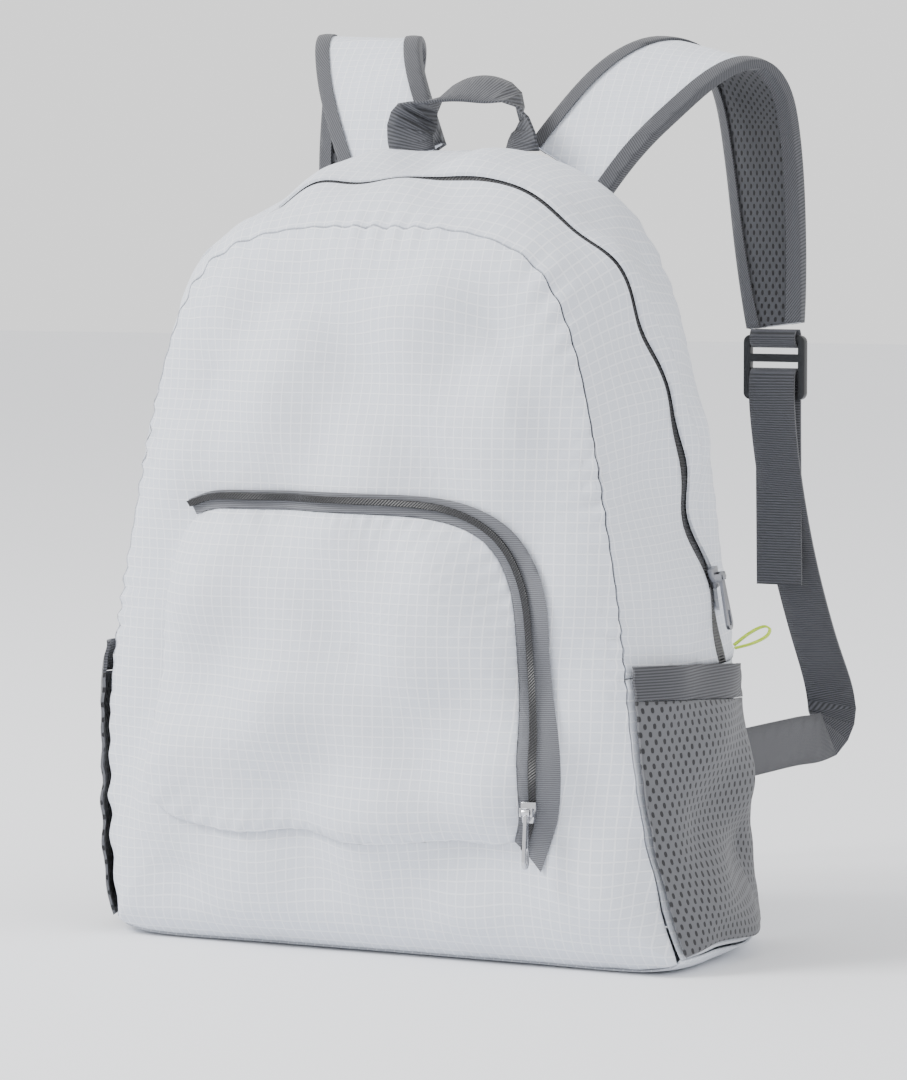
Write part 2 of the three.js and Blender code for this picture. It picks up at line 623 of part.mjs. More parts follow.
// A shoulder strap from its end in the back seam, over and down to its buckle. out, back and up are shares of
// the strap's spread, STRAP_SETBACK and STRAP_RISE from that end, wide of the way from STRAP_END_WIDTH to
// STRAP_WIDTH. Both tables are for a strap on the right, and the left one is turned over.
const RIGHT_STRAP_PATH = [
  { out: 0, back: 0, up: 0, side: [0.965, -0.05, -0.26], wide: 0.9 },
  { out: 0.13, back: 0.12, up: 0.3, side: [0.86, -0.2, -0.45], wide: 0.95 },
  { out: 0.34, back: 0.3, up: 0.68, side: [0.78, -0.27, -0.54], wide: 1 },
  { out: 0.6, back: 0.58, up: 0.97, side: [0.85, -0.38, -0.32], wide: 1 },
  { out: 0.76, back: 0.84, up: 0.95, side: [0.9, -0.42, -0.12], wide: 1 },
  { out: 0.85, back: 0.99, up: 0.7, side: [0.9, -0.42, -0.04], wide: 0.97 },
  { out: 0.92, back: 1.02, up: 0.15, side: [0.9, -0.4, 0], wide: 0.88 },
  { out: 0.97, back: 1.02, up: -0.6, side: [0.94, -0.3, 0], wide: 0.55 },
  { out: 1.01, back: 1, up: -1.15, side: [0.98, -0.15, 0], wide: 0.18 },
  { out: 1.03, back: 0.98, up: -1.38, side: [1, -0.05, 0], wide: 0 },
];
const LEFT_STRAP_PATH = [
  { out: 0, back: 0, up: 0, side: [0.965, -0.05, -0.26], wide: 1 },
  { out: 0.18, back: 0.1, up: 0.36, side: [0.97, -0.05, -0.16], wide: 1 },
  { out: 0.4, back: 0.26, up: 0.8, side: [0.99, 0.03, -0.05], wide: 1 },
  { out: 0.58, back: 0.52, up: 1.11, side: [0.99, 0.08, 0.02], wide: 1 },
  { out: 0.72, back: 0.82, up: 1.09, side: [0.99, 0.08, 0.02], wide: 1 },
  { out: 0.84, back: 0.99, up: 0.75, side: [0.99, 0.05, 0], wide: 0.97 },
  { out: 0.92, back: 1.02, up: 0.15, side: [1, 0, 0], wide: 0.88 },
  { out: 0.97, back: 1.02, up: -0.6, side: [1, 0, 0], wide: 0.55 },
  { out: 1, back: 1, up: -1.15, side: [1, 0, 0], wide: 0.18 },
  { out: 1.01, back: 0.98, up: -1.38, side: [1, 0, 0], wide: 0 },
];
const STRAP_STEPS = 17;

const turnedOver = (point, way) => vector(point.x * way, point.y, point.z);
const onSide = (geometry, way) => {
  if (way > 0) return geometry;
  const points = geometry.attributes.position;
  const corners = Array.from(geometry.index.array, (i) => vector(-points.getX(i), points.getY(i), points.getZ(i)));
  const triangles = [];
  for (let i = 0; i < corners.length; i += 3) triangles.push(corners.slice(i, i + 3));
  return closedGeometry(triangles);
};

// Frames along a strap, each with half of the strap's width there.
function strapFrames(way, spread, path) {
  const seam = turnedOver(gusset(topTurn(way * STRAP_OFFSET), 1), way);
  const end = seam.add(vector(0, STRAP_SEAT, HEM_SEAM_GAP));
  const rows = path.map(({ out, back, up, side }) => ({
    place: end.clone().add(vector(spread * out, STRAP_SETBACK * back, STRAP_RISE * up)),
    side: vector(...side),
  }));
  const wide = new THREE.CatmullRomCurve3(path.map((row) => vector(row.wide, 0, 0)));
  return framesAlong(rows, STRAP_STEPS).map((frame) => ({
    ...frame,
    half: mix(STRAP_END_WIDTH, STRAP_WIDTH, wide.getPoint(frame.t).x) / 2,
  }));
}

// A grid across and along the strap: section gives its places at a half width as [aside, up] pairs.
const acrossStrap = (frames, section) =>
  frames.map((frame) =>
    section(frame.half).map(([aside, up]) =>
      frame.place.clone().addScaledVector(frame.side, aside).addScaledVector(frame.up, up),
    ),
  );

// A strap's up points to its outside, away from the wearer. Its padding thins towards its bound edges.
function makeStrap(side, way, spread, path) {
  const frames = strapFrames(way, spread, path);
  const middle = (STRAP_FOAM + STRAP_MESH) / 2;
  const edge = STRAP_EDGE / 2;
  const across = (atMiddle, atEdge) => (half) => {
    const inside = half - BINDING_THICKNESS - GAP;
    const rim = half - BINDING_REACH;
    return [[-inside, atEdge], [-rim, atMiddle], [rim, atMiddle], [inside, atEdge]];
  };
  const piece = (name, section, low, material) => {
    const geometry = wall(acrossStrap(frames, section), acrossStrap(frames, low));
    add(side + "_strap_" + name, onSide(geometry, way), material);
  };
  const join = STRAP_MESH - middle;
  piece("pad", across(middle, edge), across(join + GAP, GAP - edge / 3), RIPSTOP);
  piece("mesh", across(join, -edge / 3), across(-middle, -edge), DARK_MESH);
  for (const [name, hand] of [["inner_binding", -1], ["outer_binding", 1]]) {
    const folded = (thick) => (half) => {
      const turn = half - BINDING_THICKNESS + thick;
      const rim = half - BINDING_REACH;
      const round = [
        [rim, middle + BINDING_SEAT + thick],
        [turn, edge + BINDING_SEAT + thick],
        [turn, -edge - BINDING_SEAT - thick],
        [rim, -middle - BINDING_SEAT - thick],
      ];
      return round.map(([aside, up]) => [hand * aside, hand * up]);
    };
    piece(name, folded(BINDING_THICKNESS), folded(0), DARK_WEBBING);
  }
  makeLock(side, way, frames[frames.length - 1].place);
}

// The ladder lock hangs on a tab sewn in the strap's end. Its slots, from the top: the tab's, and the two that
// the webbing's bar lies between.
const lockBar = (LOCK_HEIGHT - 3 * LOCK_SLOT) / 4;
const lockPitch = LOCK_SLOT + lockBar;
const topBar = 1.5 * lockPitch;
const webbingBar = -0.5 * lockPitch;
const wrapRadius = Math.hypot(lockBar, LOCK_THICKNESS) / 2 + GAP + WEBBING_THICKNESS / 2;

function lockShape() {
  const [w, h, r] = [LOCK_WIDTH / 2, LOCK_HEIGHT / 2, LOCK_RAIL];
  const shape = new THREE.Shape();
  const corners = [
    [w - r, -h + r, -0.5],
    [w - r, h - r, 0],
    [-w + r, h - r, 0.5],
    [-w + r, -h + r, 1],
  ];
  for (const [x, y, from] of corners) shape.absarc(x, y, r, from * Math.PI, (from + 0.5) * Math.PI, false);
  for (const middle of [lockPitch, 0, -lockPitch]) {
    const slot = new THREE.Path();
    const [half, top, bottom] = [w - r, middle + LOCK_SLOT / 2, middle - LOCK_SLOT / 2];
    slot.moveTo(-half, bottom);
    slot.lineTo(-half, top);
    slot.lineTo(half, top);
    slot.lineTo(half, bottom);
    slot.closePath();
    shape.holes.push(slot);
  }
  return shape;
}

// Places round a bar in the lock's own plane, as [back, up]: the webbing's middle line as it turns over it.
const roundBar = (height, radius, from, to) =>
  range(from, to, 4).map((turn) => [radius * Math.sin(turn * Math.PI), height + radius * Math.cos(turn * Math.PI)]);

// The webbing below the lock, from the lock to the seam it is sewn in. fall, back and out are shares of the way
// between the two, WEBBING_SETBACK included.
const SWING = [
  { fall: 0.2, back: 0.12, out: 0.09, side: [1, -0.05, -0.02] },
  { fall: 0.46, back: 0.36, out: 0.3, side: [1, -0.02, 0.02] },
  { fall: 0.7, back: 0.68, out: 0.6, side: [1, 0, 0.02] },
  { fall: 0.86, back: 0.93, out: 0.84, side: [0.94, 0.2, -0.2] },
  { fall: 0.95, back: 0.94, out: 0.97, side: [0.66, 0.3, -0.68] },
  { fall: 1.0, back: 0.8, out: 1.02, side: [0.2, -0.05, -0.98] },
  { fall: 1.0, back: 0.55, out: 1.03, side: [0, 0, -1] },
  { fall: 1.0, back: 0.25, out: 1.01, side: [0, 0, -1] },
];

function plainPlate(shape, thickness) {
  const plate = new THREE.ExtrudeGeometry(shape, { depth: thickness, bevelEnabled: false, curveSegments: 6 });
  plate.deleteAttribute("normal");
  plate.deleteAttribute("uv");
  plate.translate(0, 0, -thickness / 2);
  return plate;
}

function makeLock(side, way, strapEnd) {
  const middle = strapEnd.clone().add(vector(0, 0, -(topBar + wrapRadius + TAB_SHOWING)));
  const lock = plainPlate(lockShape(), LOCK_THICKNESS);
  lock.rotateX(Math.PI / 2);
  const place = turnedOver(middle, way);
  lock.translate(place.x, place.y, place.z);
  add(side + "_ladder_lock", mergeVertices(lock, 1e-3), BLACK_PLASTIC);

  const across = vector(1, 0, 0);
  const row = (back, up, out = 0) => ({ place: middle.clone().add(vector(out, back, up)), side: across });
  const half = WEBBING_THICKNESS / 2;
  const band = () => flatSection(WEBBING_WIDTH, -half, half);
  const tabTop = topBar + wrapRadius + TAB_SHOWING - GAP - 1.3 * WEBBING_THICKNESS;
  const tab = [
    row(-0.6 * wrapRadius, tabTop),
    row(-wrapRadius, topBar + 0.5 * wrapRadius),
    ...roundBar(topBar, wrapRadius, -0.5, -1.5).map(([back, up]) => row(back, up)),
    row(wrapRadius, topBar + 0.5 * wrapRadius),
    row(0.6 * wrapRadius, tabTop),
  ];
  add(side + "_strap_tab", onSide(sweep(framesAlong(tab, 14), band), way), DARK_WEBBING);

  const seamTurn = sideTurn(ANCHOR_HEIGHT);
  const anchor = turnedOver(gusset(way > 0 ? seamTurn : FULL_TURN - seamTurn, 1), way);
  anchor.add(vector(WEBBING_THICKNESS + HEM_SEAM_GAP, HEM_SEAM_GAP, 0));
  const start = row(-wrapRadius, -LOCK_HEIGHT / 2 - wrapRadius).place;
  const swing = SWING.map(({ fall, back, out, side: aside }) => ({
    place: vector(
      mix(start.x, anchor.x, out),
      mix(start.y, anchor.y + WEBBING_SETBACK, back),
      mix(start.z, anchor.z, fall),
    ),
    side: vector(...aside),
  }));
  swing[swing.length - 2].place.y = anchor.y + 0.6 * WEBBING_SETBACK;
  swing[swing.length - 1].place.y = anchor.y + 0.28 * WEBBING_SETBACK;
  const run = [
    row(1.6 * wrapRadius, -TAIL_LENGTH),
    row(1.3 * wrapRadius, -TAIL_LENGTH * 0.6),
    row(wrapRadius, -LOCK_HEIGHT / 2 - wrapRadius),
    ...roundBar(webbingBar, wrapRadius, 0.5, -0.5).map(([back, up]) => row(back, up)),
    { place: start, side: across },
    ...swing,
    { place: anchor, side: vector(0, 0, -1) },
  ];
  add(side + "_webbing", onSide(sweep(framesAlong(run, 40), band), way), DARK_WEBBING);
}

// A short ribbon loop sewn in the back seam by the pocket's hem: out and aside are shares of LOOP_REACH.
const LOOP_PATH = [
  { out: 0, aside: -0.04 },
  { out: 0.5, aside: -0.14 },
  { out: 0.9, aside: -0.12 },
  { out: 1, aside: 0 },
  { out: 0.9, aside: 0.12 },
  { out: 0.5, aside: 0.14 },
  { out: 0, aside: 0.04 },
];

function makeSideLoop() {
  const seat = gusset(sideTurn(LOOP_HEIGHT), 1).add(vector(HEM_SEAM_GAP + LOOP_THICKNESS, LOOP_THICKNESS, 0));
  const out = vector(0.84, 0.28, 0.46).normalize();
  const aside = vector(-0.4, 0.1, 0.9).normalize();
  const flat = out.clone().cross(aside);
  const rows = LOOP_PATH.map((row) => ({
    place: seat
      .clone()
      .addScaledVector(out, LOOP_REACH * row.out)
      .addScaledVector(aside, LOOP_REACH * row.aside),
    side: flat,
  }));
  const ribbon = () => flatSection(LOOP_RIBBON, -LOOP_THICKNESS / 2, LOOP_THICKNESS / 2);
  add("side_loop", sweep(framesAlong(rows, 16), ribbon), LIME);
}

// Solids joined and cut.
function solidOf(geometry) {
  const bare = geometry.clone();
  bare.deleteAttribute("normal");
  bare.deleteAttribute("uv");
  const merged = mergeVertices(bare, 1e-4);
  const vertProperties = merged.attributes.position.array;
  return new solids.Manifold(new solids.Mesh({ numProp: 3, vertProperties, triVerts: merged.index.array }));
}

function geometryOf(solid) {
  const mesh = solid.getMesh();
  const geometry = new THREE.BufferGeometry();
  geometry.setAttribute("position", new THREE.BufferAttribute(mesh.vertProperties, 3));
  geometry.setIndex(new THREE.BufferAttribute(mesh.triVerts, 1));
  return geometry;
}

const block = (x, y, z, [cx, cy, cz]) => solidOf(new THREE.BoxGeometry(x, y, z).translate(cx, cy, cz));
const rod = (radius, length, [cx, cy, cz]) =>
  solidOf(new THREE.CylinderGeometry(radius, radius, length, 12).rotateZ(Math.PI / 2).translate(cx, cy, cz));

// A zip slider in its own frame, x across the zip, y up along it and z out: a plate that narrows downwards, with
// two ears on top that hold the pull's pin.
const pivotRise = SLIDER_HEIGHT + PIVOT_RADIUS + PIVOT_CLEARANCE + EYE_WALL + GAP;
const eyeRadius = PIVOT_RADIUS + PIVOT_CLEARANCE + EYE_WALL;

function sliderSolid() {
  const [w, l] = [SLIDER_WIDTH / 2, SLIDER_LENGTH / 2];
  const outline = new THREE.Shape();
  outline.moveTo(-w, l);
  outline.lineTo(-w, l / 3);
  outline.lineTo(-0.7 * w, -l);
  outline.lineTo(0.7 * w, -l);
  outline.lineTo(w, l / 3);
  outline.lineTo(w, l);
  outline.closePath();
  let solid = solidOf(plainPlate(outline, SLIDER_HEIGHT).translate(0, 0, SLIDER_HEIGHT / 2));
  const earPlace = PULL_NARROW / 2 + GAP + EAR_THICKNESS / 2;
  const earTop = pivotRise + PIVOT_RADIUS + EYE_WALL / 2;
  for (const hand of [-1, 1]) {
    const ear = block(EAR_THICKNESS, 2 * eyeRadius, earTop, [hand * earPlace, 0, earTop / 2]);
    solid = solid.add(ear);
  }
  return solid.add(rod(PIVOT_RADIUS, 2 * earPlace, [0, 0, pivotRise]));
}

// The pull in the same frame, hanging down from the pin: an eye round the pin and a plate that widens to a
// rounded end with a slot. Its face or its edge is turned out.
function pullSolid(edgeOut) {
  const [narrow, wide] = [PULL_NARROW / 2, PULL_WIDE / 2];
  const low = -PULL_LENGTH + wide;
  const shape = new THREE.Shape();
  const top = -eyeRadius + EYE_WALL / 2;
  shape.moveTo(narrow, top);
  shape.lineTo(-narrow, top);
  shape.absarc(0, low, wide, Math.PI, 2 * Math.PI, false);
  shape.closePath();
  const slot = new THREE.Path();
  const r = 0.42 * wide;
  slot.absarc(0, low, r, 0, -Math.PI, true);
  slot.absarc(0, low + PULL_HOLE_LENGTH, r, -Math.PI, -2 * Math.PI, true);
  shape.holes.push(slot);
  const flat = plainPlate(shape, PULL_THICKNESS).rotateY(edgeOut ? Math.PI / 2 : 0);
  const plate = solidOf(flat.translate(0, 0, pivotRise));
  const eye = rod(eyeRadius, PULL_NARROW, [0, 0, pivotRise]);
  return plate.add(eye).subtract(rod(PIVOT_RADIUS + PIVOT_CLEARANCE, 2 * PULL_NARROW, [0, 0, pivotRise]));
}

// Seats a slider and its pull on a zip, height off a patch of surface that runs up the zip and across it.
function makeZipPull(name, patch, height, edgeOut, material) {
  const up = patch(1, 0).sub(patch(-1, 0)).normalize();
  const out = patch(0, 1).sub(patch(0, -1)).cross(up).normalize();
  if (out.dot(inward(patch(0, 0))) > 0) out.negate();
  const seat = patch(0, 0).addScaledVector(out, height);
  const basis = new THREE.Matrix4().makeBasis(up.clone().cross(out), up, out).setPosition(seat);
  add(name + "_slider", geometryOf(sliderSolid()).applyMatrix4(basis), material);
  add(name + "_pull", geometryOf(pullSolid(edgeOut)).applyMatrix4(basis), material);
}

function makeMainZipPull() {
  const middle = zipTurn(MAIN_SLIDER_HEIGHT);
  const patch = (along, across) => {
    const turn = middle + 0.1 * along;
    return gusset(turn, zipDepth(turn) + shareOfDepth(turn, (across * SLIDER_WIDTH) / 2));
  };
  makeZipPull("main_zip", patch, 2 * GAP, false, GUNMETAL);
}

function makePocketZipPull() {
  let middle = 0;
  while (pocketOutline(middle, 0).z < POCKET_SLIDER_HEIGHT) middle += 0.01;
  const coil = (coilInside + coilOutside) / 2;
  const patch = (along, across) =>
    onFront(pocketOutline(middle + 0.1 * along, coil + (across * SLIDER_WIDTH) / 2));
  const height = pocketTapeLow + POCKET_TAPE_THICKNESS + POCKET_COIL_HEIGHT + 3 * GAP;
  makeZipPull("pocket_zip", patch, height, true, NICKEL);
}

makeFrontPanel();
makeBackPanel();
makeBasePanel();
makeSidePanels();
makeZipGussets();
makeMainZip();
makeZipFlap();
makeFrontPocket();
makePocketZip();
makeSidePockets();
makeHandle();
makeStrap("right", 1, RIGHT_STRAP_SPREAD, RIGHT_STRAP_PATH);
makeStrap("left", -1, LEFT_STRAP_SPREAD, LEFT_STRAP_PATH);
makeSideLoop();
makeMainZipPull();
makePocketZipPull();

// The frame's origin is under the middle of the whole, on the floor.
const reach = new THREE.Box3().setFromObject(backpack);
const centre = reach.getCenter(vector(0, 0, 0));
backpack.position.set(-centre.x, -centre.y, -reach.min.z);

export default backpack;
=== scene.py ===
# %% [markdown]
# A light packable daypack stands packed full on a pale floor. Its solids come from the CAD frame, and each
# one is dressed here as a smoother copy. Soft copies are subdivided, and those on the bag itself follow one
# field of dents and puckers, so that pieces on top of each other move together. Hard copies only get a
# small bevel. Every finish is a procedural material.

# %% Frame
import math

import bmesh
import bpy
import numpy as np
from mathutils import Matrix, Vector


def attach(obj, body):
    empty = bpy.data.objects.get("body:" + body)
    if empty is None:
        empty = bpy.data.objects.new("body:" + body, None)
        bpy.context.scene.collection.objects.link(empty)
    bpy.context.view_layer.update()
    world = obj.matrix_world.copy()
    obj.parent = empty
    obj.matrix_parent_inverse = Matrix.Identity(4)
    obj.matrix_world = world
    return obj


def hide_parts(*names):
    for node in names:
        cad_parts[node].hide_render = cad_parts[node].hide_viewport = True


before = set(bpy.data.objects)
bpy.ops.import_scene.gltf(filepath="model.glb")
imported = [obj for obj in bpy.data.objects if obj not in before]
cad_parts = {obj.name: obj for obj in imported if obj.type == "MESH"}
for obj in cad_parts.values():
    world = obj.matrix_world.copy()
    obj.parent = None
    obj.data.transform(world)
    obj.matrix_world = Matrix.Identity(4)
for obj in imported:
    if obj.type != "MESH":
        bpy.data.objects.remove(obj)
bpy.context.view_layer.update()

print("solids:", len(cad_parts))


# %% [markdown]
# A smooth piece could be lofted anew from a profile, but then it might leave its solid. So it starts as a
# copy of the solid. Subdivision rounds the facets, and edges that turn sharply, such as the rim of a cloth
# wall, are creased, so that neighbouring panels still meet at their seams.

# %% Smooth copies of solids
MERGE_WITHIN = 1e-5
CREASED_OVER = math.radians(38)
SHADED_SHARP_OVER = math.radians(48)


def creased_mesh(node, sharp_over):
    """The node's mesh with its equal points merged, and each edge that turns more than an angle creased."""
    shape = bmesh.new()
    shape.from_mesh(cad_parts[node].data)
    bmesh.ops.remove_doubles(shape, verts=shape.verts, dist=MERGE_WITHIN)
    crease = shape.edges.layers.float.new("crease_edge")
    for edge in shape.edges:
        edge[crease] = float(edge.calc_face_angle(0) > sharp_over)
    mesh = bpy.data.meshes.new(node)
    shape.to_mesh(mesh)
    shape.free()
    return mesh


def smooth_copy(title, node, levels, bevel=0.0):
    """A copy of a solid, subdivided and perhaps bevelled, with its modifiers applied."""
    piece = bpy.data.objects.new(title, creased_mesh(node, CREASED_OVER))
    bpy.context.scene.collection.objects.link(piece)
    if levels:
        smooth = piece.modifiers.new("smooth", "SUBSURF")
        smooth.levels = smooth.render_levels = levels
    if bevel:
        edges = piece.modifiers.new("edges", "BEVEL")
        edges.width = bevel
        edges.segments = 2
        edges.limit_method = "ANGLE"
    mesh = bpy.data.meshes.new_from_object(piece.evaluated_get(bpy.context.evaluated_depsgraph_get()))
    piece.modifiers.clear()
    piece.data = mesh
    mesh.shade_smooth()
    mesh.set_sharp_from_angle(angle=SHADED_SHARP_OVER)
    return piece


def points_of(mesh):
    """The mesh's points as an array of rows."""
    found = np.empty(len(mesh.vertices) * 3, np.float32)
    mesh.vertices.foreach_get("co", found)
    return found.reshape(-1, 3).astype(float)


def move_points(mesh, points):
    """Puts the mesh's points where the rows say."""
    mesh.vertices.foreach_set("co", points.astype(np.float32).ravel())
    mesh.update()


def lay_uv(mesh, across, along):
    """Writes a flat pattern place, in metres, for each point of the mesh."""
    layer = mesh.uv_layers.new(name="cloth")
    corners = np.empty(len(mesh.loops), np.int32)
    mesh.loops.foreach_get("vertex_index", corners)
    layer.data.foreach_set("uv", np.stack([across, along], 1)[corners].astype(np.float32).ravel())


def dress(piece, material, node):
    """Gives the piece its finish, and hides the solid that it stands for."""
    piece.data.materials.clear()
    piece.data.materials.append(material)
    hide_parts(node)


print("creased over", round(math.degrees(CREASED_OVER)), "degrees")


# %% [markdown]
# Seams are where a panel's sharp rim is. Sampled into places, they give every point of the cloth its
# distance from the nearest seam, with no need to know which panel it is on.

# %% Seams
BAG_MIDDLE = np.array([-0.0096, -0.047, 0.18])
RIM_OVER = math.radians(60)
RIM_SAMPLES = 5
RIM_STRIDE = 2


def rim_points(node):
    """Places along the sharp rim of a panel, where it is sewn: each creased edge, split evenly."""
    mesh = creased_mesh(node, RIM_OVER)
    creases = np.empty(len(mesh.edges), np.float32)
    mesh.attributes["crease_edge"].data.foreach_get("value", creases)
    ends = np.empty(len(mesh.edges) * 2, np.int32)
    mesh.edges.foreach_get("vertices", ends)
    first, last = points_of(mesh)[ends.reshape(-1, 2)[creases > 0]].transpose(1, 0, 2)
    share = np.linspace(0, 1, RIM_SAMPLES)[None, :, None]
    return (first[:, None] * (1 - share) + last[:, None] * share).reshape(-1, 3)


def distance_to(points, places):
    """Distance from each point to the nearest of the places, from |a - b|^2 = |a|^2 + |b|^2 - 2 a.b."""
    square = (points**2).sum(1)[:, None] + (places**2).sum(1)[None] - 2 * points @ places.T
    return np.sqrt(np.maximum(square, 0).min(1))


def turn_of(points, middle=BAG_MIDDLE):
    """Angle of each point round a middle, seen from the front."""
    return np.arctan2(points[:, 0] - middle[0], points[:, 2] - middle[2])


seam_places = np.concatenate([rim_points(node)[::RIM_STRIDE] for node in ("front_panel", "back_panel")])
print("seam places:", len(seam_places))


# %% [markdown]
# Packed cloth is never flat. Inside the panels it has low dents a hand wide, and along the seams the thread
# draws it into short puckers that die away within a finger's width. A cloth simulation would give truer
# folds. A field of heights over space is used instead, because stacked pieces then keep their distances.

# %% Dents and puckers
CORE_LOW = BAG_MIDDLE + np.array([-0.075, -0.019, -0.094])
CORE_HIGH = BAG_MIDDLE + np.array([0.075, 0.025, 0.102])
DENT = 0.0036
DENT_FADE = 0.035
# Columns: waves over x, y and z in radians a metre, phase, share of the depth
DENT_WAVES = [
    ([61.0, 20.0, 47.0], 0.4, 0.8),
    ([-38.0, 31.0, 72.0], 1.9, 0.7),
    ([95.0, -44.0, -29.0], 3.1, 0.5),
    ([24.0, 83.0, -104.0], 0.9, 0.4),
    ([131.0, 57.0, 88.0], 5.2, 0.25),
]
PUCKER = 0.0014
PUCKER_REACH = 0.009
FLOOR_FADE = 0.02
# Slower waves round the bag shift the puckers and vary their depth, so that they aren't all alike.
PUCKERS_ROUND, SHIFT, SHIFTS_ROUND = 84, 2.2, 7
VARIES, VARIES_ROUND = 0.4, 11
POCKET_PUCKER = 0.0007
POCKET_PUCKERS_ROUND, POCKET_SHIFT, POCKET_SHIFTS_ROUND = 58, 1.7, 5
POCKET_RISE_OVER = 0.002


def outward(points):
    """Unit vectors out of the bag: from the nearest point of a box inside it."""
    away = points - np.clip(points, CORE_LOW, CORE_HIGH)
    return away / np.linalg.norm(away, axis=1, keepdims=True)


def relief(points):
    """Height of the cloth: a sum of slanted sine waves that fades at the seams, and waves round the bag that
    fade away from them. Both fade out at the floor."""
    dents = sum(share * np.sin(points @ np.array(wave) + phase) for wave, phase, share in DENT_WAVES)
    seam = distance_to(points, seam_places)
    inside = np.clip(seam / DENT_FADE, 0, 1) ** 1.5
    turn = turn_of(points)
    wave = np.sin(PUCKERS_ROUND * turn + SHIFT * np.sin(SHIFTS_ROUND * turn))
    wave *= 1 - VARIES + VARIES * np.sin(VARIES_ROUND * turn + 1)
    clear_of_floor = np.clip(points[:, 2] / FLOOR_FADE, 0, 1)
    return (DENT * dents * inside + PUCKER * wave * np.exp(-seam / PUCKER_REACH)) * clear_of_floor


def drawn_rim(points, node):
    """How far a pocket's sewn rim stands up in puckers, never down into the panel below: 1 plus a sine round
    the pocket, fading away from the rim."""
    rim = distance_to(points, rim_points(node))
    turn = turn_of(points, points.mean(0))
    wave = 1 + np.sin(POCKET_PUCKERS_ROUND * turn + POCKET_SHIFT * np.sin(POCKET_SHIFTS_ROUND * turn))
    return POCKET_PUCKER * wave * np.exp(-rim / PUCKER_REACH) * np.clip(rim / POCKET_RISE_OVER, 0, 1)


print("dents up to", DENT * sum(share for _, _, share in DENT_WAVES) * 1000, "mm")


# %% [markdown]
# Colours are given as they look on a screen and turned to linear light by one function. One small function
# adds a shader node with its settings and links, and every finish is built with it.

# %% Helpers for finishes
# A Mix node has its sockets once for each kind of value. These are the ones for colours.
MIX_LOW, MIX_HIGH, MIX_RESULT = 6, 7, 2


def linear(code):
    """A hex colour as linear light, with an alpha of 1."""
    shown = np.array([int(code[i : i + 2], 16) for i in (1, 3, 5)]) / 255
    return (*np.where(shown <= 0.04045, shown / 12.92, ((shown + 0.055) / 1.055) ** 2.4).tolist(), 1.0)


def add(tree, kind, links=(), **settings):
    """Adds a node. A setting that starts with in_ is the value of a socket, and any other is a property."""
    node = tree.nodes.new(kind)
    for key, value in settings.items():
        if key.startswith("in_"):
            node.inputs[key[3:].replace("_", " ")].default_value = value
        else:
            setattr(node, key, value)
    for socket, source in links:
        tree.links.new(source, node.inputs[socket])
    return node


def raised(tree, height, strength, distance, below=()):
    """A bump of a height, laid over the normals below it."""
    links = [("Height", height), *below]
    return add(tree, "ShaderNodeBump", links, in_Strength=strength, in_Distance=distance).outputs["Normal"]


def finish_of(name, roughness, **settings):
    """An empty material with its principled shader."""
    material = bpy.data.materials.new(name)
    material.use_nodes = True
    tree = material.node_tree
    tree.nodes.clear()
    shader = add(tree, "ShaderNodeBsdfPrincipled", in_Roughness=roughness, **settings)
    add(tree, "ShaderNodeOutputMaterial", [("Surface", shader.outputs["BSDF"])])
    return material, tree, shader


def woven(name, low, high, pattern, height, roughness, crumple=0.0, sheen=0.15):
    """A cloth finish. Its colour goes from low to high with a pattern that also stands out by a height, and
    the cloth is crumpled under it by another height."""
    material, tree, shader = finish_of(name, roughness, in_Sheen_Weight=sheen, in_IOR=1.5)
    place = add(tree, "ShaderNodeUVMap", uv_map="cloth")
    factor = pattern(tree, place.outputs["UV"])
    where = add(tree, "ShaderNodeTexCoord").outputs["Object"]
    noise = add(tree, "ShaderNodeTexNoise", [("Vector", where)], in_Scale=60.0, in_Detail=4.0)
    colour = add(tree, "ShaderNodeMix", [("Factor", factor)], data_type="RGBA")
    colour.inputs[MIX_LOW].default_value = linear(low)
    colour.inputs[MIX_HIGH].default_value = linear(high)
    threads = raised(tree, factor, 0.6, height)
    folds = raised(tree, noise.outputs["Fac"], 0.5, crumple, [("Normal", threads)])
    tree.links.new(colour.outputs[MIX_RESULT], shader.inputs["Base Color"])
    tree.links.new(folds, shader.inputs["Normal"])
    return material


def cast(name, colour, roughness, grain, **settings):
    """A moulded or cast finish: one colour, with a faint grain of a height."""
    material, tree, shader = finish_of(name, roughness, in_Base_Color=linear(colour), **settings)
    where = add(tree, "ShaderNodeTexCoord").outputs["Object"]
    noise = add(tree, "ShaderNodeTexNoise", [("Vector", where)], in_Scale=900.0)
    tree.links.new(raised(tree, noise.outputs["Fac"], 0.4, grain), shader.inputs["Normal"])
    return material


print("helpers ready")


# %% [markdown]
# Three patterns serve every cloth. All take sizes in metres and read the piece's own flat pattern places,
# so that threads follow the cloth and not the room.

# %% Patterns
HOLE_EDGE = 0.1


def grid(pitch, line):
    """Thick threads round square cells of a pitch: 1 on a thread, 0 in a cell."""

    def build(tree, place):
        cells = add(
            tree,
            "ShaderNodeTexBrick",
            [("Vector", place)],
            offset=0.0,
            squash=1.0,
            in_Scale=1.0 / pitch,
            in_Brick_Width=1.0,
            in_Row_Height=1.0,
            in_Mortar_Size=line / pitch / 2,
            in_Mortar_Smooth=0.2,
        )
        return cells.outputs["Fac"]

    return build


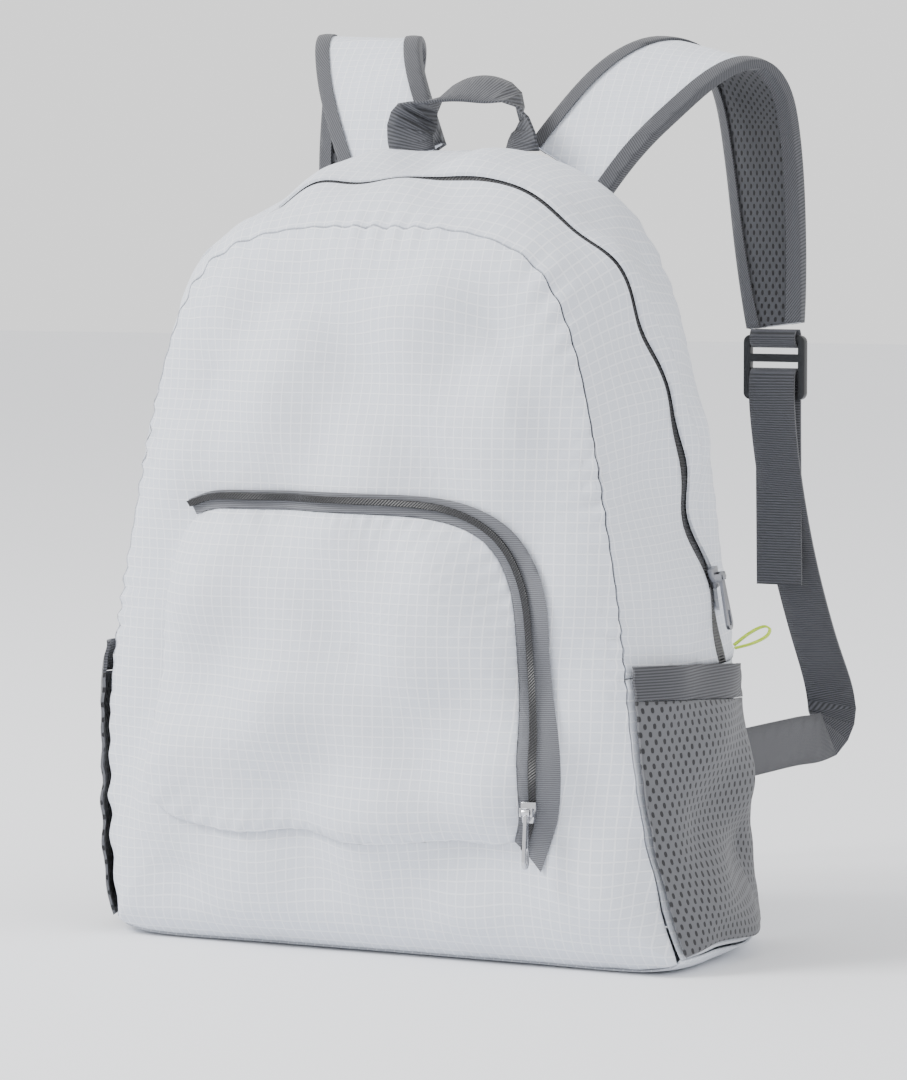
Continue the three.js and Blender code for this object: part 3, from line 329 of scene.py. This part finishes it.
def holes(pitch, row, size):
    """Yarn round staggered holes: 1 on the yarn, 0 in a hole. cos(2 pi x / pitch) cos(pi y / row) peaks at
    each hole, and the hole is where it is over its value at half a size from the middle."""

    def build(tree, place):
        parts = add(tree, "ShaderNodeSeparateXYZ", [("Vector", place)])
        waves = []
        for part, length in (("X", pitch), ("Y", 2 * row)):
            turn = add(tree, "ShaderNodeMath", [(0, parts.outputs[part])], operation="MULTIPLY")
            turn.inputs[1].default_value = 2 * math.pi / length
            waves.append(add(tree, "ShaderNodeMath", [(0, turn.outputs[0])], operation="COSINE").outputs[0])
        both = add(tree, "ShaderNodeMath", [(0, waves[0]), (1, waves[1])], operation="MULTIPLY")
        edge = math.cos(math.pi * size / pitch)
        yarn = add(
            tree,
            "ShaderNodeMapRange",
            [("Value", both.outputs[0])],
            in_From_Min=edge - HOLE_EDGE,
            in_From_Max=edge + HOLE_EDGE,
            in_To_Min=1.0,
            in_To_Max=0.0,
        )
        return yarn.outputs["Result"]

    return build


def ribs(pitch, axis, slant=0.0):
    """Ribs of a pitch across one axis of the pattern, perhaps slanted by an angle."""

    def build(tree, place):
        turned = add(tree, "ShaderNodeMapping", [("Vector", place)], in_Rotation=(0.0, 0.0, slant))
        wave = add(
            tree,
            "ShaderNodeTexWave",
            [("Vector", turned.outputs["Vector"])],
            bands_direction=axis,
            in_Scale=math.pi / 10 / pitch,
            in_Distortion=0.0,
        )
        return wave.outputs["Fac"]

    return build


print("patterns: grid, holes, ribs")


# %% [markdown]
# The bag's cloth is white ripstop nylon, a plain weave with a thicker thread every five millimetres in both
# directions. The thick threads catch the light as a fine grid, and the thin cloth between them crumples.

# %% Ripstop
ripstop = woven("white ripstop nylon", "#d3d8e2", "#e8ebf2", grid(0.005, 0.0009), 0.0004, 0.6, 0.002)
print(ripstop.name)

# %% [markdown]
# The side pockets and the insides of the straps are knitted polyester. Grey yarn goes round staggered
# holes, which look nearly black because little light comes back out of them. The yarn is matt.

# %% Meshes
pocket_net = woven(
    "grey knitted mesh", "#232326", "#5f6064", holes(0.005, 0.0038, 0.0018), 0.0007, 0.85, 0.0002
)
air_net = woven("dark air mesh", "#1d1d1f", "#4b4c50", holes(0.0042, 0.0034, 0.0016), 0.0009, 0.9, 0.0002)
print(pocket_net.name, air_net.name)

# %% [markdown]
# Webbing and tapes are woven polyester or polypropylene. Ribs across their length break the light into a
# dull stripe. On binding tape the ribs are slanted, as twill looks from a step away. On the zip tape they
# come out level and stand in for a herringbone. The nylon coil is smoother, so its ridges shine, and it has
# no fuzz.

# %% Webbing and tapes
webbing = woven("dark grey webbing", "#2c2d30", "#54555b", ribs(0.0014, "Y"), 0.0004, 0.8, 0.0001)
binding = woven("twill binding tape", "#37383b", "#5b5c61", ribs(0.0011, "Y", 0.9), 0.0002, 0.85, 0.0001)
tape = woven("zip tape", "#4a4b50", "#787a80", ribs(0.0013, "X", 0.8), 0.0002, 0.8, 0.0001)
coil = woven("black nylon coil", "#070708", "#2b2b2e", ribs(0.0016, "Y"), 0.0007, 0.4, sheen=0.0)
ribbon = woven("lime ribbon", "#b4d51c", "#d3ee4a", ribs(0.0012, "Y"), 0.0002, 0.7)
print(webbing.name, binding.name, tape.name, coil.name, ribbon.name)

# %% [markdown]
# The buckles are moulded acetal, black with a faint gloss. The zip sliders are zinc castings with a dark or
# a bright plating, which keeps a metal's default index of refraction. A fine grain keeps their reflections
# soft.

# %% Hard finishes
plastic = cast("black acetal", "#1a1b1d", 0.38, 0.00015, in_IOR=1.48)
gunmetal = cast("gunmetal plated zinc", "#8a8b90", 0.3, 0.0001, in_Metallic=1.0)
nickel = cast("nickel plated zinc", "#c4c5c9", 0.22, 0.0001, in_Metallic=1.0)
print(plastic.name, gunmetal.name, nickel.name)


# %% [markdown]
# Each pattern needs to know how the cloth lies. Flat panels take it from the front, the side or below. The
# gusset takes the way round the bag, and a strap the way over its arch. These are simple formulas of a
# point's place, so threads are stretched where a piece turns away from them.

# %% Pattern places
GUSSET_RADIUS = 0.17
HANDLE_RADIUS = 0.032


def front_way(p):
    """Across and up, seen from the front."""
    return p[:, 0], p[:, 2]


def side_way(p):
    """Front to back and up, seen from the side."""
    return p[:, 1], p[:, 2]


def below_way(p):
    """Across and front to back, seen from below."""
    return p[:, 0], p[:, 1]


def round_way(p):
    """Front to back, and round the bag at one radius."""
    return p[:, 1], GUSSET_RADIUS * turn_of(p)


def strap_way(p):
    """Across the strap, and the way over its arch: straight up, half round and straight down."""
    low, high = p[:, 1].min(), p[:, 1].max()
    middle, radius = (low + high) / 2, (high - low) / 2
    rise = p[:, 2] - (p[:, 2].max() - radius)
    below = np.minimum(rise, 0)
    over = radius * np.arctan2(np.maximum(rise, 0), middle - p[:, 1])
    return p[:, 0], over + np.where(p[:, 1] > middle, -below, below)


def down_way(p):
    """Across, and height less depth, which changes both down the webbing and along its way forwards."""
    return p[:, 0], p[:, 2] - p[:, 1]


def arch_way(p):
    """Front to back, and the way over the handle's arch at one radius."""
    middle = (p[:, 0].min() + p[:, 0].max()) / 2
    return p[:, 1], HANDLE_RADIUS * np.arctan2(p[:, 2] - p[:, 2].min(), middle - p[:, 0])


def zip_way(p):
    """The two slanted ways across the front. Ribs along one of them cross the coil on top and at the side."""
    return p[:, 0] + p[:, 2], p[:, 0] - p[:, 2]


print("pattern places ready")

# %% [markdown]
# The soft pieces are listed with how each is made. Pieces on the bag's cloth follow its dents. The handle,
# the loop and the straps stand free of it, and keep the solids' line.

# %% Table of soft pieces
# Columns: name, solid, finish, slot, way of the pattern, subdivisions, whether it is on the bag
SOFT = [
    ("front_panel", "front_panel", ripstop, "ripstop", front_way, 3, True),
    ("back_panel", "back_panel", ripstop, "ripstop", front_way, 2, True),
    ("base_panel", "base_panel", ripstop, "ripstop", below_way, 2, True),
    ("right_side_panel", "right_side_panel", ripstop, "ripstop", side_way, 3, True),
    ("left_side_panel", "left_side_panel", ripstop, "ripstop", side_way, 3, True),
    ("front_gusset", "front_gusset", ripstop, "ripstop", round_way, 3, True),
    ("rear_gusset", "rear_gusset", ripstop, "ripstop", round_way, 3, True),
    ("zip_flap", "zip_flap", ripstop, "ripstop", round_way, 3, True),
    ("main_zip_coil", "main_zip", coil, "zip_coil", round_way, 2, True),
    ("front_pocket", "front_pocket", ripstop, "ripstop", front_way, 3, True),
    ("pocket_zip_tape", "pocket_zip_tape", tape, "zip_tape", zip_way, 2, True),
    ("pocket_zip_coil", "pocket_zip_coil", coil, "zip_coil", zip_way, 2, True),
    ("right_mesh_pocket", "right_mesh_pocket", pocket_net, "mesh", side_way, 3, True),
    ("left_mesh_pocket", "left_mesh_pocket", pocket_net, "mesh", side_way, 3, True),
    ("right_pocket_hem", "right_pocket_hem", webbing, "webbing", side_way, 3, True),
    ("left_pocket_hem", "left_pocket_hem", webbing, "webbing", side_way, 3, True),
    ("grab_handle", "grab_handle", webbing, "webbing", arch_way, 2, False),
    ("side_loop", "side_loop", ribbon, "ribbon", down_way, 2, False),
]
for side in ("right", "left"):
    SOFT += [
        (side + "_padding", side + "_strap_pad", ripstop, "ripstop", strap_way, 3, False),
        (side + "_air_mesh", side + "_strap_mesh", air_net, "mesh", strap_way, 2, False),
        (side + "_inner_tape", side + "_strap_inner_binding", binding, "webbing", strap_way, 2, False),
        (side + "_outer_tape", side + "_strap_outer_binding", binding, "webbing", strap_way, 2, False),
        (side + "_tab", side + "_strap_tab", webbing, "webbing", down_way, 2, False),
        (side + "_strap_webbing", side + "_webbing", webbing, "webbing", down_way, 2, False),
    ]
print("soft pieces:", len(SOFT))

# %% [markdown]
# The pattern is laid before the cloth is dented, so that its threads bend with the dents. Nothing is pushed
# below the floor.

# %% Soft pieces
soft_pieces = {}
for title, node, material, slot, way, levels, on_bag in SOFT:
    piece = smooth_copy(title, node, levels)
    points = points_of(piece.data)
    lay_uv(piece.data, *way(points))
    if on_bag:
        height = relief(points)
        if node == "front_pocket":
            height += drawn_rim(points, node)
        points += outward(points) * height[:, None]
        points[:, 2] = np.maximum(points[:, 2], 0)
        move_points(piece.data, points)
    dress(piece, material, node)
    soft_pieces[node] = piece
    print(title, len(piece.data.vertices))

# %% [markdown]
# The strap padding is foam in a cloth cover, full enough to hold its shape.

# %% Strap padding
print("strap padding: foam in a cloth cover")

# %% [markdown]
# Moulded and cast pieces keep the solids' shape. A small bevel on their edges catches the light.

# %% Hard pieces
# Columns: name, which is the solid's too, finish, slot, bevel, body that it rides on
HARD = [
    ("right_ladder_lock", plastic, "buckle", 0.0005, "bag"),
    ("left_ladder_lock", plastic, "buckle", 0.0005, "bag"),
    ("main_zip_slider", gunmetal, "gunmetal", 0.0002, "bag"),
    ("main_zip_pull", gunmetal, "gunmetal", 0.0002, "main_pull"),
    ("pocket_zip_slider", nickel, "nickel", 0.0002, "bag"),
    ("pocket_zip_pull", nickel, "nickel", 0.0002, "pocket_pull"),
]
for title, material, slot, bevel, body in HARD:
    piece = smooth_copy(title, title, 0, bevel)
    dress(piece, material, title)
    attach(piece, body)
    print(title, len(piece.data.vertices))
for piece in soft_pieces.values():
    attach(piece, "bag")

# %% [markdown]
# A pale studio floor, just below the bag, spreads far enough to fill the picture's lower part.

# %% Floor
FLOOR_HALF = 9
FLOOR_DROP = 0.0005
corners = [(-FLOOR_HALF, -FLOOR_HALF, 0), (FLOOR_HALF, -FLOOR_HALF, 0)]
corners += [(FLOOR_HALF, FLOOR_HALF, 0), (-FLOOR_HALF, FLOOR_HALF, 0)]
floor_mesh = bpy.data.meshes.new("floor")
floor_mesh.from_pydata(corners, [], [(0, 1, 2, 3)])
floor = bpy.data.objects.new("floor", floor_mesh)
bpy.context.scene.collection.objects.link(floor)
floor.location.z = -FLOOR_DROP
floor_finish, _, _ = finish_of("pale studio floor", 0.9, in_Base_Color=linear("#f4f5f8"))
floor_mesh.materials.append(floor_finish)
print("floor", 2 * FLOOR_HALF, "m wide")

# %% [markdown]
# The light is a white surround, which fills the shadows, and two large soft lamps. The stronger one is high
# on the left, and shows up the dents.

# %% Light
SURROUND = 1.35
AIMED_AT = Vector((0, 0, 0.2))
# Columns: name, place in metres, size in metres, power in watts
LAMPS = [
    ("key", (-1.9, -1.6, 2.4), 1.2, 120),
    ("fill", (2.4, -1.4, 1.5), 1.8, 8),
]
world = bpy.data.worlds.new("studio")
bpy.context.scene.world = world
world.use_nodes = True
world.node_tree.nodes["Background"].inputs["Color"].default_value = linear("#ffffff")
world.node_tree.nodes["Background"].inputs["Strength"].default_value = SURROUND
for title, place, size, power in LAMPS:
    lamp = bpy.data.lights.new(title, "AREA")
    lamp.size = size
    lamp.energy = power
    light = bpy.data.objects.new(title, lamp)
    light.location = place
    light.rotation_euler = (AIMED_AT - light.location).to_track_quat("-Z", "Y").to_euler()
    bpy.context.scene.collection.objects.link(light)
print("lamps:", len(LAMPS))

# %% [markdown]
# The camera's place, turn and lens were fitted to the photograph's outline. It stands two and a half metres
# away, a little above the bag's middle, to the right of its front.

# %% Camera
CAMERA_PLACE = (1.1794, -2.246, 0.374)
LENS, SENSOR = 166.67, 36
PITCH_DOWN, TURN_LEFT = 4.004, 28
lens = bpy.data.cameras.new("camera")
lens.lens = LENS
lens.sensor_width = SENSOR
camera = bpy.data.objects.new("camera", lens)
camera.location = CAMERA_PLACE
camera.rotation_euler = (math.radians(90 - PITCH_DOWN), 0, math.radians(TURN_LEFT))
bpy.context.scene.collection.objects.link(camera)
bpy.context.scene.camera = camera
print("camera at", CAMERA_PLACE)
